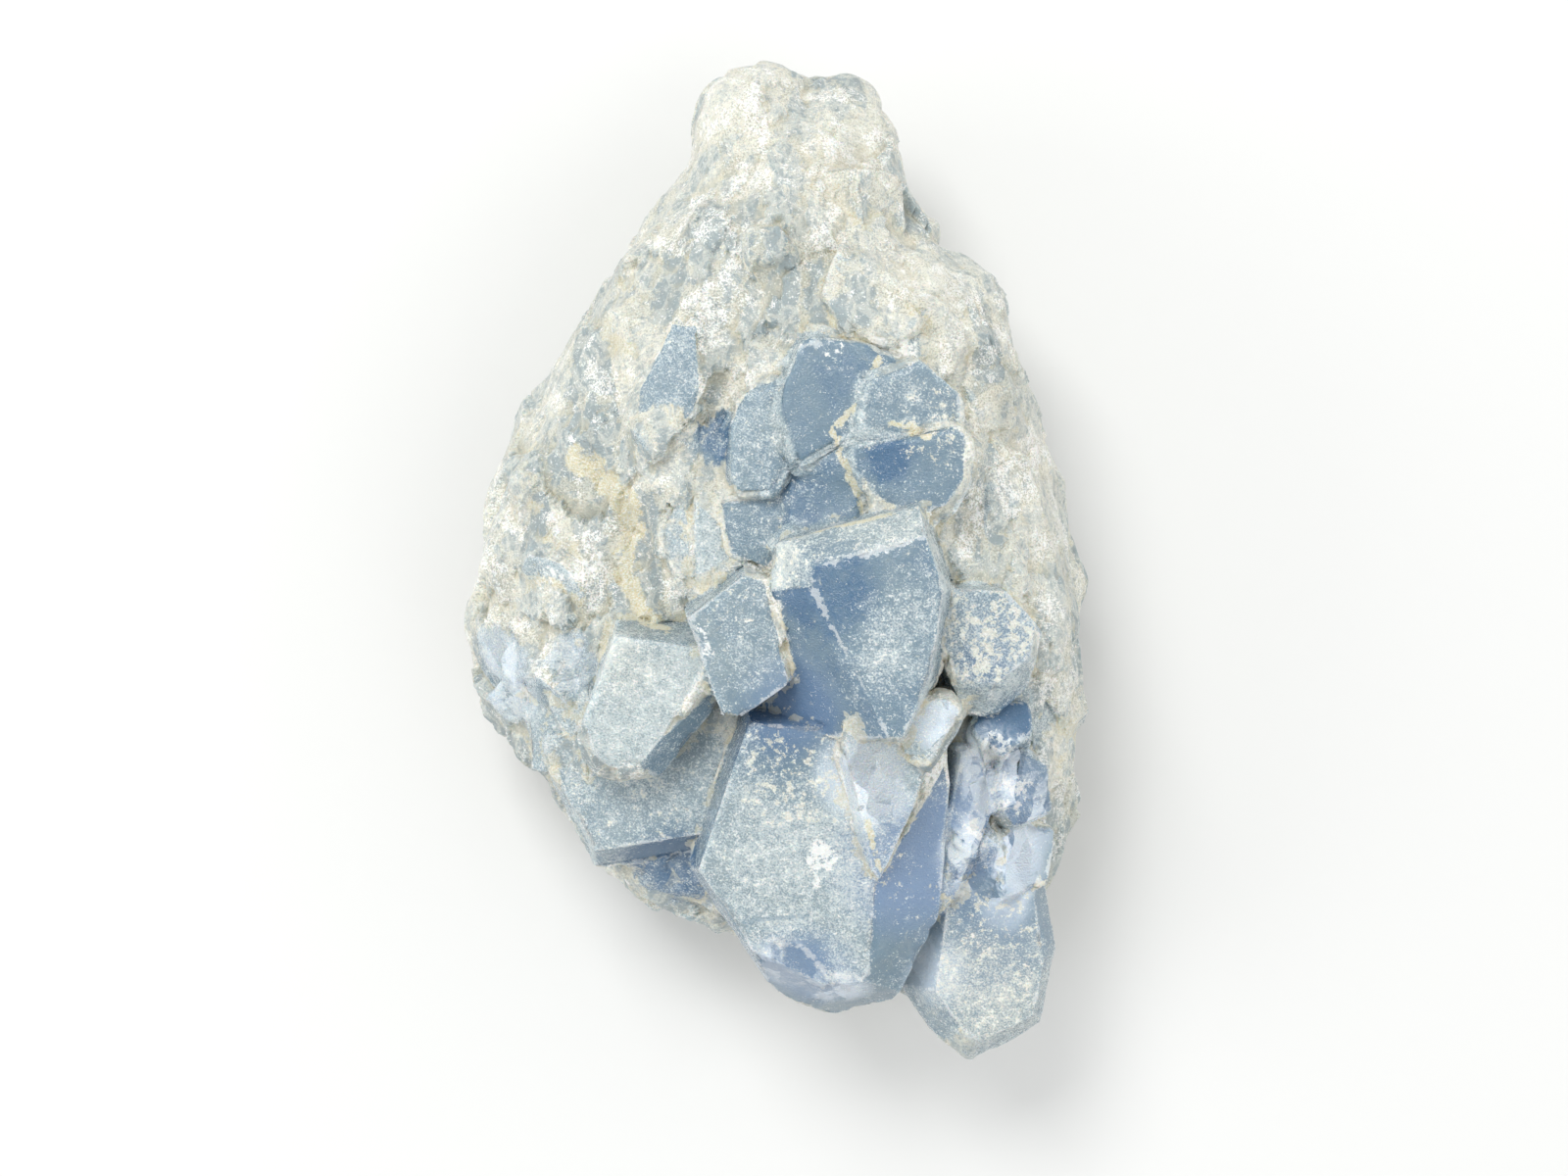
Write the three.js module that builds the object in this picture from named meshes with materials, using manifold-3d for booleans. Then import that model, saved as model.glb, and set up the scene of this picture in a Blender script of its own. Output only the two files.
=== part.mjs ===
// A celestite crystal cluster: a hand-sized, pear-shaped piece broken from a geode. It is one natural
// piece, a massive, dust-coated body from which pale blue tabular crystals stand out, all grown together.
// It lies on its back on a flat break. Millimetres, +Z up, +Y from the crystals towards the narrow neck.
import * as THREE from "three";
import { ConvexGeometry } from "three/addons/geometries/ConvexGeometry.js";
import { mergeVertices } from "three/addons/utils/BufferGeometryUtils.js";
import Module from "manifold-3d";

// Driving dimensions: the finished piece is fitted to them.
const LENGTH = 160;
const WIDTH = 102;
const HEIGHT = 69;

const CELESTITE_BLUE = 0xa9bccb;
const SEED = 20417;

// The body: how fine its broken facets are, where it is widest, how square its section is, how far
// its underside passes the flat break, and how far that underside lifts towards the two ends.
const BODY_DETAIL = 9;
const WIDEST_HEIGHT = 24;
const BASE_OVERCUT = 4;
const CREST_SQUARENESS = 2.3;
const BASE_SQUARENESS = 2.1;
const BASE_END_LIFT = 16;
const END_ROUNDNESS = 13;
const FACET_JITTER = 1.3;
const FACET_UNEVENNESS = 0.3;
const LUMP_SIZE = 15;
const LUMP_HEIGHT = 2.4;

// Stations along the body: y, left edge, right edge, crest height, crest x.
const STATIONS = [
  [-68, 14, 37, 19, 27],
  [-63, 9, 42, 23, 25],
  [-58, -8, 44.5, 28, 21],
  [-51, -22, 46, 33, 18],
  [-43, -32, 47.5, 37, 15],
  [-33, -38.5, 50, 41, 13],
  [-24, -45.5, 51, 46, 12],
  [-14, -50, 51, 51, 10],
  [-3, -48.5, 50, 54, 10],
  [8, -46.5, 49, 55, 10],
  [18, -43.5, 48, 55, 9],
  [28, -39.5, 44, 55, 8],
  [36, -34, 40, 54, 7],
  [43, -29, 35.5, 52, 5],
  [50, -26, 26.5, 49, 4],
  [58, -19.5, 21.5, 46, 4],
  [66, -15.5, 21, 43, 4],
  [72, -14.5, 18.5, 39, 3],
  [77, -11, 15, 34, 3],
];

// Swells and gullies on the upper side: x, y, radius, rise.
const RELIEF = [
  [-30, 16, 7, -3.5],
  [-24, 3, 8, -5],
  [-17, -9, 7, -4],
  [-9, 24, 4, -5],
  [-8, 14, 4, -5],
  [20, 40, 11, 4],
  [-10, 45, 9, 2],
  [-33, -12, 8, 2],
  [34, 6, 8, 3],
  [14, 52, 5, 2],
  [22, 47, 5, 2.5],
  [29, 42, 5, 2],
];

// Rounded lumps of the massive part: centre, radii, detail.
const LUMPS = [
  { at: [-3.5, 67, 25], radii: [12, 13, 17], detail: 3 },
  { at: [12, 64, 24], radii: [8.5, 13.2, 14], detail: 2 },
  { at: [26, 36, 26], radii: [15, 15, 20], detail: 3 },
  { at: [-36, -10, 22], radii: [15, 17, 16], detail: 3 },
  { at: [16, 20, 48], radii: [15, 14, 11.5], detail: 1 },
  { at: [27, -40, 35], radii: [7, 13, 10], detail: 1 },
];

// Each large crystal is given by the corners of its upper face, anticlockwise from above; top is the
// face's height at their middle, and rise its slope along X and Y. A side is [fall, reach]: how many
// degrees it turns down from the face, and how far out it goes before the crystal's upright rim.
const UPRIGHT = [88, 0];
const CHIPPED = [50, 0.8];
const CRYSTALS = [
  // The crown, with a pale growth step above it and a broad blue flank below
  {
    corners: [[5.5, -3], [17.5, -25], [19.5, -25], [24, -15.5], [26, -4], [23, 4.5], [6, 0]],
    top: 66.5, rise: [0.05, 0.1],
    sides: [[40, 17], [80, 0.5], [80, 1.5], [84, 1], [84, 1], [42, 4.5], [40, 6.5]],
    depth: 24,
  },
  // The square-cornered slab left of the crown
  {
    corners: [[-13.5, -7.5], [-8, -22], [-5.5, -22.5], [2.5, -17], [-1.5, -2], [-4.5, -1]],
    top: 60.5, rise: [-0.02, 0.12],
    sides: [UPRIGHT, UPRIGHT, UPRIGHT, CHIPPED, UPRIGHT, UPRIGHT],
    depth: 16,
  },
  // The largest crystal, standing out of the open end, with a chisel tip
  {
    corners: [[-4, -23], [-12, -45.5], [-3.5, -58], [8, -63.5], [14, -63], [15, -61], [16, -47.5], [11, -24]],
    top: 49.5, rise: [0.03, 0.3],
    sides: [[84, 1], [68, 3], [48, 8.5], [50, 11], [34, 7], [22, 10.5], [15, 14], UPRIGHT],
    depth: 27, keel: 3,
  },
  // Two pale prisms that lie on it
  {
    corners: [[12, -22], [11, -26], [15.5, -46], [16.5, -47], [21.5, -36], [23, -31], [21, -26]],
    top: 57.5, rise: [0, 0.42],
    sides: [UPRIGHT, [55, 1.6], UPRIGHT, UPRIGHT, [75, 1], [75, 1], UPRIGHT],
    depth: 10,
  },
  {
    corners: [[18, -24], [20.5, -27.5], [23, -29.5], [28.5, -22], [28.5, -21], [26.5, -19], [25, -19]],
    top: 61.5, rise: [0.08, 0.05],
    sides: [UPRIGHT, UPRIGHT, [60, 1.2], UPRIGHT, UPRIGHT, UPRIGHT, CHIPPED],
    depth: 13,
  },
  // The thick plate at the lower left
  {
    corners: [[-35.5, -31], [-29, -43.5], [-11, -40.5], [-7.5, -34], [-4.5, -23], [-20, -20]],
    top: 42.5, rise: [0.14, 0.12],
    sides: [[66, 3], [62, 3.5], [80, 1], [80, 1], UPRIGHT, UPRIGHT],
    depth: 17, keel: 3,
  },
  // The rounded crystal over that plate, and its paler right flank
  {
    corners: [[-30, -23], [-28.5, -28], [-26, -30.5], [-21, -29.5], [-18, -26], [-9.5, -12], [-25, -10]],
    top: 53.5, rise: [0.06, 0.26],
    sides: [[55, 2], [48, 3], [45, 3.5], [42, 4], [26, 9.5], UPRIGHT, UPRIGHT],
    depth: 17,
  },
  // The smooth blue blocks above the crown
  {
    corners: [[0.5, 25.5], [2, 19.5], [3.5, 15], [14, 21], [20.5, 29.5], [14.5, 33], [4.5, 34]],
    top: 60.5, rise: [-0.06, 0.05],
    sides: [CHIPPED, CHIPPED, CHIPPED, [30, 2], UPRIGHT, UPRIGHT, UPRIGHT],
    depth: 14,
  },
  {
    corners: [[13.5, 20.5], [23, 18.5], [28.5, 21.5], [28.5, 25.5], [22.5, 30.5], [15, 28]],
    top: 61.5, rise: [-0.16, 0.1],
    sides: [[40, 1.5], CHIPPED, CHIPPED, UPRIGHT, UPRIGHT, [35, 1]],
    depth: 12,
  },
  {
    corners: [[12, 17.5], [12.5, 14], [16.5, 9.5], [23, 8], [27, 9], [29.5, 13.5], [29.5, 19.5], [27.5, 21]],
    top: 61.5, rise: [0.02, 0.1],
    sides: [[60, 1], [50, 1.5], [44, 2], [44, 2], [50, 1.5], [60, 1], UPRIGHT, UPRIGHT],
    depth: 14,
  },
  // The blue field that slopes down from them to the left
  {
    corners: [[-4, -0.5], [1.5, 0], [14, 6.5], [14, 9], [12, 18], [3.5, 15.5], [-2.5, 5]],
    top: 56.5, rise: [0.24, 0.2],
    sides: [UPRIGHT, UPRIGHT, UPRIGHT, UPRIGHT, UPRIGHT, UPRIGHT, UPRIGHT],
    depth: 14,
  },
  // Grey faces left of the blocks, down to the gully
  {
    corners: [[-7, 22.5], [-7, 12], [-6, 10.5], [0, 10.5], [2, 15], [2.5, 19], [0.5, 28.5], [-5, 26.5]],
    top: 58.5, rise: [0.1, 0.05],
    depth: 14,
  },
  {
    corners: [[-19, 31], [-22, 25.5], [-21.5, 22], [-19, 20.5], [-14, 21], [-11.5, 24.5], [-12, 36],
      [-16, 36.5]],
    top: 54.5, rise: [0.28, 0.05],
    depth: 14,
  },
  {
    corners: [[-20, 19.5], [-21.5, 10.5], [-16.5, 11.5], [-11.5, 14], [-10.5, 18.5], [-15.5, 20.5]],
    top: 52.5, rise: [0.22, -0.1],
    depth: 12,
  },
  {
    corners: [[-18, 6.5], [-18, 2], [-13.5, -2.5], [-8.5, -0.5], [-7, 5], [-9.5, 11], [-15, 10]],
    top: 52.5, rise: [0.12, 0.12],
    depth: 12,
  },
  {
    corners: [[-8.5, 8], [-7, 2], [-1, -0.5], [1.5, 8], [0.5, 10.5], [-9, 10]],
    top: 55, rise: [0.1, 0.1],
    depth: 12,
  },
  // The pale shoulder and neck slabs
  {
    corners: [[7.5, 41], [11, 35.5], [19, 33], [22.5, 36], [18, 43.5], [9.5, 47]],
    top: 57.5, rise: [-0.02, -0.22],
    sides: [UPRIGHT, CHIPPED, UPRIGHT, CHIPPED, [48, 2], UPRIGHT],
    depth: 14,
  },
  {
    corners: [[20, 34], [21, 30.5], [28.5, 28.5], [31, 33], [26, 39], [21.5, 38]],
    top: 56, rise: [-0.32, 0.1],
    sides: [UPRIGHT, CHIPPED, UPRIGHT, CHIPPED, [60, 1], UPRIGHT],
    depth: 14,
  },
  {
    corners: [[-14.5, 51], [-13, 41], [-8, 36], [-5, 42], [-8, 54]],
    top: 49.5, rise: [0.45, -0.1],
    depth: 12,
  },
  {
    corners: [[-5.5, 51], [-4, 46], [0, 45.5], [2.5, 48.5], [0, 51.5]],
    top: 54.5, rise: [0.1, -0.2],
    sides: [UPRIGHT, CHIPPED, CHIPPED, UPRIGHT, UPRIGHT],
    depth: 10,
  },
  {
    corners: [[13, 60], [14.5, 50], [19.5, 44], [22, 48], [20.5, 60]],
    top: 45, rise: [-1, 0.05],
    depth: 12,
  },
  // The mottled block on the right, and the deep blue facet under it
  {
    corners: [[26.5, -3], [26, -11], [28.5, -16.5], [34.5, -17.5], [40, -13], [41, -8.5], [36, -3.5]],
    top: 56.5, rise: [-0.14, 0.08],
    sides: [CHIPPED, [60, 1], [46, 5], [52, 4.5], [60, 2], UPRIGHT, UPRIGHT],
    depth: 18,
  },
  {
    corners: [[31, -24], [33.5, -27], [36, -27.5], [40.5, -25], [40.5, -20.5], [33, -20]],
    top: 49, rise: [-0.1, -0.4],
    depth: 14,
  },
  // The broken, glassy hollow at the right
  {
    corners: [[29.5, -28], [27.5, -40], [32, -44], [36, -35], [34, -27]],
    top: 47.5, rise: [-0.35, 0.12],
    depth: 16,
  },
  {
    corners: [[34.5, -34], [38, -40], [45, -38], [44.5, -30], [37, -26.5]],
    top: 44.5, rise: [-0.45, 0.15],
    depth: 16,
  },
  {
    corners: [[27.5, -40], [27.5, -49], [35, -51], [37.5, -43], [33, -39.5]],
    top: 43.5, rise: [-0.1, 0.45],
    depth: 16,
  },
  {
    corners: [[36, -42], [37, -50], [44, -48], [45.5, -40], [39, -38]],
    top: 41, rise: [-0.55, -0.1],
    depth: 16,
  },
  // The crystal at the foot, beside the largest one
  {
    corners: [[28, -49], [26, -65], [30, -71], [33.5, -73.5], [42, -69], [43.5, -60], [41.5, -49]],
    top: 38, rise: [-0.05, 0.24],
    sides: [[48, 5], [48, 5], [45, 5], [50, 4], [62, 2.5], [62, 2.5], UPRIGHT],
    depth: 24, keel: 4,
  },
  // Small crystals in the shade between plate and largest crystal
  {
    corners: [[-24, -49], [-19, -53.5], [-14.5, -52], [-14, -44], [-20, -43]],
    top: 22, rise: [-0.3, 0.25], sides: [[50, 2], [50, 2], [50, 2], UPRIGHT, UPRIGHT],
    depth: 14,
  },
  {
    corners: [[-15, -53], [-10, -57], [-7, -52], [-9.5, -45], [-15, -46]],
    top: 21, rise: [0.1, 0.35], sides: [[50, 2], [50, 2], [50, 2], UPRIGHT, UPRIGHT],
    depth: 14,
  },
  {
    corners: [[-31, -43], [-28, -48], [-23, -49], [-22, -42]],
    top: 20, rise: [0.3, 0.2], sides: [[50, 2], [50, 2], UPRIGHT, UPRIGHT],
    depth: 14,
  },
  // Blades down the lower left side
  {
    corners: [[-45, -18.5], [-44, -25.5], [-42, -30.5], [-38.5, -30.5], [-35, -20], [-38, -12]],
    top: 33, rise: [0.75, 0.15], sides: [[70, 1], [70, 1], [60, 1.5], UPRIGHT, UPRIGHT, UPRIGHT],
    depth: 16,
  },
  {
    corners: [[-40.5, -17], [-39.5, -31.5], [-36.5, -32], [-34.5, -22], [-36, -14]],
    top: 38, rise: [0.5, 0.15], sides: [[75, 0.5], [60, 1.2], UPRIGHT, UPRIGHT, UPRIGHT],
    depth: 14,
  },
  {
    corners: [[-36.5, -17.5], [-36, -22.5], [-33, -26], [-30, -23.5], [-29, -16]],
    top: 43.5, rise: [0.4, 0.3],
    depth: 14,
  },
  {
    corners: [[-37, -26], [-35.5, -32.5], [-30, -33], [-30.5, -25.5]],
    top: 41, rise: [0.25, 0.3], sides: [[65, 1], [55, 1.5], UPRIGHT, UPRIGHT],
    depth: 12,
  },
  // Broad broken faces of both flanks
  {
    corners: [[-44.5, 11], [-42, 1.5], [-36, -3], [-30, 6.5], [-36, 14.5]],
    top: 39, rise: [0.75, -0.05],
    depth: 14,
  },
  {
    corners: [[-37, -12], [-30.5, -16], [-23, -11], [-26, -2.5], [-35, -2.5]],
    top: 45.5, rise: [0.45, 0.1],
    depth: 12,
  },
  {
    corners: [[-49, -5], [-50, -13], [-46, -19.5], [-39.5, -16.5], [-40, -4.5]],
    top: 31, rise: [1.15, 0.05],
    depth: 14,
  },
  {
    corners: [[-30, 20], [-27.5, 13.5], [-21.5, 15], [-23, 23]],
    top: 48.5, rise: [0.45, 0],
    depth: 10,
  },
  {
    corners: [[-34.5, 26], [-29, 22.5], [-20.5, 26], [-22, 38], [-30, 35]],
    top: 46, rise: [0.7, -0.12],
    depth: 13,
  },
  {
    corners: [[33, 15], [33, 2], [40, -1.5], [43.5, 8], [40.5, 18]],
    top: 47, rise: [-0.7, 0.02],
    depth: 13,
  },
  {
    corners: [[41.5, -3], [42.5, -19], [49.5, -18], [49, -7.5]],
    top: 39, rise: [-1.1, 0.02],
    depth: 14,
  },
  {
    corners: [[29.5, 27], [33, 19.5], [39, 21.5], [37.5, 29.5], [32, 35]],
    top: 48.5, rise: [-0.75, 0.05],
    depth: 12,
  },
  {
    corners: [[41, -20], [42, -34], [48.5, -32.5], [48.5, -20]],
    top: 38, rise: [-1.1, 0.05],
    depth: 14,
  },
];

// Crystals that stand out of the open end under the large ones: centre, the way they point, width. Their
// bevel's reach and their depth are shares of the width, and each is turned a little at random.
const RIM_BEVEL = { fall: 52, reach: 0.16 };
const RIM_DEPTH = 1.3;
const RIM_TURN = 0.5;
const RIM_CRYSTALS = [
  { at: [2, -57, 22], facing: [-0.15, -1, 0.1], width: 15 },
  { at: [17, -64, 17], facing: [0.1, -1, -0.15], width: 13 },
  { at: [-13, -51, 11], facing: [-0.4, -1, -0.1], width: 12 },
  { at: [-31, -38, 15], facing: [-1, -0.8, -0.1], width: 14 },
  { at: [-41, -27, 13], facing: [-1, -0.5, 0], width: 13 },
  { at: [31, -66, 14], facing: [0.25, -1, -0.2], width: 14 },
  { at: [42, -54, 15], facing: [1, -0.5, 0], width: 13 },
  { at: [47, -38, 17], facing: [1, -0.15, 0.05], width: 12 },
  { at: [3, -60, 9], facing: [-0.3, -1, -0.3], width: 11 },
  { at: [-48, -8, 14], facing: [-1, -0.1, 0], width: 12 },
];

// Celestite's rhombic outline, its sharp ends cut off, for a block of unit width.
const RHOMB = [[0, -0.39], [0.36, -0.14], [0.36, 0.14], [0, 0.39], [-0.36, 0.14], [-0.36, -0.14]];
const USUAL_STRETCH = 1.25;

// Small blocky crystals over the crust: how many are tried, how far apart, how wide, how long and how
// uneven they may be, how deep and how far above the break as a share of the width, how far up the
// neck they reach, how proud of the crust, how far each leans, and the way they all lean together.
const BLOCK_TRIES = 900;
const BLOCK_SPACING = 12.2;
const BLOCK_WIDTH = [8, 13];
const BLOCK_STRETCH = [0.8, 1.5];
const BLOCK_UNEVEN = 0.16;
const BLOCK_DEPTH = 0.8;
const BLOCK_CLEARANCE = 0.7;
const BLOCK_NECK = 54;
const BLOCK_PROUD = 0.8;
const BLOCK_LEAN = 0.55;
const CRUST_GRAIN = [-0.2, -0.4, 0];

// Points closer than this are one point.
const WELD = 1e-3;
const CORNER_WELD = 0.02;
const ON_PLANE = 1e-6;
const NEARLY_PARALLEL = 1e-4;

const wasm = await Module();
wasm.setup();

// A repeatable stream of random numbers from 0 to 1.
function randomStream(seed) {
  let state = seed;
  return () => {
    state = (state + 0x6d2b79f5) | 0;
    let mixed = Math.imul(state ^ (state >>> 15), 1 | state);
    mixed = (mixed + Math.imul(mixed ^ (mixed >>> 7), 61 | mixed)) ^ mixed;
    return ((mixed ^ (mixed >>> 14)) >>> 0) / 2 ** 32;
  };
}

const random = randomStream(SEED);
const between = (low, high) => low + (high - low) * random();

// Smooth noise from -1 to 1, one lump to each unit of length.
function lumpNoise(x, y, z) {
  const corner = (i, j, k) => {
    const mixed = Math.sin(i * 127.1 + j * 311.7 + k * 74.7 + SEED * 0.01) * 43758.5453;
    return (mixed - Math.floor(mixed)) * 2 - 1;
  };
  const cell = [x, y, z].map(Math.floor);
  const [u, v, w] = [x, y, z].map((value, axis) => THREE.MathUtils.smoothstep(value - cell[axis], 0, 1));
  let sum = 0;
  for (const [i, wi] of [[0, 1 - u], [1, u]])
    for (const [j, wj] of [[0, 1 - v], [1, v]])
      for (const [k, wk] of [[0, 1 - w], [1, w]])
        sum += wi * wj * wk * corner(cell[0] + i, cell[1] + j, cell[2] + k);
  return sum;
}

// A three.js geometry as a solid for joining and cutting.
function solidOf(geometry) {
  const bare = geometry.clone();
  bare.deleteAttribute("normal");
  bare.deleteAttribute("uv");
  const merged = mergeVertices(bare, WELD);
  return new wasm.Manifold(
    new wasm.Mesh({
      numProp: 3,
      vertProperties: merged.attributes.position.array,
      triVerts: new Uint32Array(merged.index.array),
    }),
  );
}

// A unit sphere of even triangles, its shared vertices merged, each moved by place(vector).
function roundForm(detail, place) {
  const sphere = new THREE.IcosahedronGeometry(1, detail);
  sphere.deleteAttribute("normal");
  sphere.deleteAttribute("uv");
  const merged = mergeVertices(sphere, WELD);
  const position = merged.attributes.position;
  const spread = FACET_UNEVENNESS / (detail + 1);
  for (let i = 0; i < position.count; i++) {
    const shift = new THREE.Vector3(...[0, 1, 2].map(() => between(-spread, spread)));
    const placed = place(new THREE.Vector3().fromBufferAttribute(position, i).add(shift).normalize());
    position.setXYZ(i, placed.x, placed.y, placed.z);
  }
  return merged;
}

// The body's section at y: its edges and crest, between the stations.
function sectionAt(y) {
  const after = Math.max(1, STATIONS.findIndex(([stationY]) => stationY >= y));
  const [low, high] = [STATIONS[after - 1], STATIONS[after]];
  const share = THREE.MathUtils.clamp((y - low[0]) / (high[0] - low[0]), 0, 1);
  return low.map((value, i) => THREE.MathUtils.lerp(value, high[i], share));
}

// How much the upper surface swells or sinks at a place.
function reliefAt(x, y) {
  return RELIEF.reduce((sum, [cx, cy, radius, rise]) => {
    const away = Math.hypot(x - cx, y - cy) / radius;
    return sum + rise * Math.exp(-away * away);
  }, 0);
}

// Lumps and facet jitter, the same for every rounded form.
function roughened(point, outward) {
  const lump = lumpNoise(point.x / LUMP_SIZE, point.y / LUMP_SIZE, point.z / LUMP_SIZE) * LUMP_HEIGHT;
  return point.addScaledVector(outward, lump + between(-FACET_JITTER, FACET_JITTER));
}

// A direction from the middle, taken to the surface of the massive body.
function bodyPoint(direction) {
  const [firstY, lastY] = [STATIONS[0][0], STATIONS.at(-1)[0]];
  const y = THREE.MathUtils.lerp(firstY, lastY, (direction.y + 1) / 2);
  const [, left, right, crest, crestX] = sectionAt(y);
  const taper = Math.sqrt(1 - Math.abs(direction.y) ** END_ROUNDNESS);
  const across = Math.hypot(direction.x, direction.z) || 1;
  const [cosine, sine] = [direction.x / across, direction.z / across];
  const squareness = 2 / (sine > 0 ? CREST_SQUARENESS : BASE_SQUARENESS);
  const half = cosine > 0 ? right - crestX : crestX - left;
  const endLift = BASE_END_LIFT * Math.abs(y / (LENGTH / 2)) ** 3;
  const rise = sine > 0 ? crest - WIDEST_HEIGHT : WIDEST_HEIGHT + BASE_OVERCUT - endLift;
  const point = new THREE.Vector3(
    crestX + taper * half * Math.sign(cosine) * Math.abs(cosine) ** squareness,
    y,
    WIDEST_HEIGHT + taper * rise * Math.sign(sine) * Math.abs(sine) ** squareness,
  );
  if (sine > 0) point.z += reliefAt(point.x, point.y) * sine;
  return roughened(point, direction);
}

function massiveBody() {
  return roundForm(BODY_DETAIL, bodyPoint);
}

function lump({ at, radii, detail }) {
  const centre = new THREE.Vector3(...at);
  const size = new THREE.Vector3(...radii);
  return roundForm(detail, (direction) => roughened(direction.clone().multiply(size).add(centre), direction));
}

// The convex solid inside a set of planes, each with its normal pointing out.
function insidePlanes(planes) {
  const corners = [];
  const meet = new THREE.Matrix3();
  planes.forEach((a, i) =>
    planes.slice(i + 1).forEach((b, j) =>
      planes.slice(i + j + 2).forEach((c) => {
        meet.set(...a.normal.toArray(), ...b.normal.toArray(), ...c.normal.toArray());
        if (Math.abs(meet.determinant()) < NEARLY_PARALLEL) return;
        const corner = new THREE.Vector3(-a.constant, -b.constant, -c.constant).applyMatrix3(meet.invert());
        const inside = planes.every((plane) => plane.distanceToPoint(corner) < ON_PLANE);
        if (inside && corners.every((known) => known.distanceTo(corner) > CORNER_WELD)) corners.push(corner);
      }),
    ),
  );
  return new ConvexGeometry(corners);
}

// A crystal under a flat face: corners are the face's points in space, anticlockwise seen from outside.
function crystalUnder(corners, outward, sides, depth, keel) {
  const planeAt = (normal, point) =>
    new THREE.Plane().setFromNormalAndCoplanarPoint(normal.normalize(), point);
  const planes = [
    planeAt(outward.clone(), corners[0]),
    planeAt(outward.clone().negate(), corners[0].clone().addScaledVector(outward, -depth)),
  ];
  corners.forEach((corner, i) => {
    const [fall, reach] = sides[i] ?? UPRIGHT;
    const angle = THREE.MathUtils.degToRad(fall);
    const edge = corners[(i + 1) % corners.length].clone().sub(corner);
    const aside = edge.cross(outward).normalize();
    const leaning = (way) =>
      aside.clone().multiplyScalar(Math.sin(angle)).addScaledVector(outward, way * Math.cos(angle));
    planes.push(planeAt(leaning(1), corner));
    if (!reach) return;
    const rim = corner.clone().addScaledVector(aside, reach);
    planes.push(planeAt(aside.clone(), rim));
    if (!keel) return;
    const girdle = rim.addScaledVector(outward, -reach * Math.tan(angle) - keel);
    planes.push(planeAt(leaning(-1), girdle));
  });
  return insidePlanes(planes);
}

function largeCrystal({ corners, top, rise: [riseX, riseY], sides = [], depth, keel = 0 }) {
  const middleX = corners.reduce((sum, [x]) => sum + x, 0) / corners.length;
  const middleY = corners.reduce((sum, [, y]) => sum + y, 0) / corners.length;
  const onFace = ([x, y]) => new THREE.Vector3(x, y, top + riseX * (x - middleX) + riseY * (y - middleY));
  const outward = new THREE.Vector3(-riseX, -riseY, 1).normalize();
  return crystalUnder(corners.map(onFace), outward, sides, depth, keel);
}

// A block under an upper face of that outline, facing its own way.
function block({ at, facing, width, stretch = USUAL_STRETCH, uneven = 0, spin, side = UPRIGHT, depth }) {
  const outward = new THREE.Vector3(...facing).normalize();
  const turn = new THREE.Quaternion().setFromUnitVectors(new THREE.Vector3(0, 0, 1), outward);
  const corners = RHOMB.map(([x, y]) =>
    new THREE.Vector3(x * stretch, y, 0)
      .multiplyScalar(width * between(1 - uneven, 1 + uneven))
      .applyAxisAngle(new THREE.Vector3(0, 0, 1), spin)
      .applyQuaternion(turn)
      .add(new THREE.Vector3(...at)),
  );
  return crystalUnder(corners, outward, corners.map(() => side), depth, 0);
}

// A blunt crystal that points out of the open end.
function rimCrystal({ at, facing, width }) {
  const spin = between(-RIM_TURN, RIM_TURN);
  const side = [RIM_BEVEL.fall, RIM_BEVEL.reach * width];
  return block({ at, facing, width, spin, side, depth: RIM_DEPTH * width });
}

// Blocks scattered over the crust, each leaning its own way, no two closer than the spacing.
function crustBlocks(body) {
  body.computeVertexNormals();
  const { position, normal } = body.attributes;
  const grain = new THREE.Vector3(...CRUST_GRAIN);
  const taken = [];
  const blocks = [];
  for (let i = 0; i < BLOCK_TRIES; i++) {
    const pick = Math.floor(random() * position.count);
    const at = new THREE.Vector3().fromBufferAttribute(position, pick);
    const width = between(...BLOCK_WIDTH);
    const stretch = between(...BLOCK_STRETCH);
    const lean = new THREE.Vector3(...[0, 1, 2].map(() => between(-BLOCK_LEAN, BLOCK_LEAN)));
    const spin = between(0, Math.PI);
    const clear = taken.every((other) => other.distanceTo(at) > BLOCK_SPACING);
    if (!clear || at.y > BLOCK_NECK || at.z < BLOCK_CLEARANCE * width) continue;
    taken.push(at);
    const outward = new THREE.Vector3().fromBufferAttribute(normal, pick);
    const facing = outward.clone().add(grain).add(lean).normalize();
    const proud = at.clone().addScaledVector(outward, between(-BLOCK_PROUD, BLOCK_PROUD));
    const placed = { at: proud.toArray(), facing: facing.toArray(), spin };
    blocks.push(block({ ...placed, width, stretch, uneven: BLOCK_UNEVEN, depth: BLOCK_DEPTH * width }));
  }
  return blocks;
}

// The flat break that the piece lies on: everything under it is cut away.
function belowTheBreak() {
  const block = new THREE.BoxGeometry(3 * WIDTH, 2 * LENGTH, HEIGHT);
  block.translate(0, 0, -HEIGHT / 2);
  return solidOf(block);
}

// Moves the geometry so that it stands on Z = 0 over the origin, and fits it to the driving dimensions.
function settle(geometry) {
  geometry.computeBoundingBox();
  const size = geometry.boundingBox.getSize(new THREE.Vector3());
  const middle = geometry.boundingBox.getCenter(new THREE.Vector3());
  geometry.translate(-middle.x, -middle.y, -geometry.boundingBox.min.z);
  geometry.scale(WIDTH / size.x, LENGTH / size.y, HEIGHT / size.z);
  return geometry;
}

function geometryOf(solid) {
  const { vertProperties, triVerts } = solid.getMesh();
  return new THREE.BufferGeometry()
    .setAttribute("position", new THREE.BufferAttribute(vertProperties, 3))
    .setIndex(new THREE.BufferAttribute(triVerts, 1))
    .toNonIndexed();
}

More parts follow.
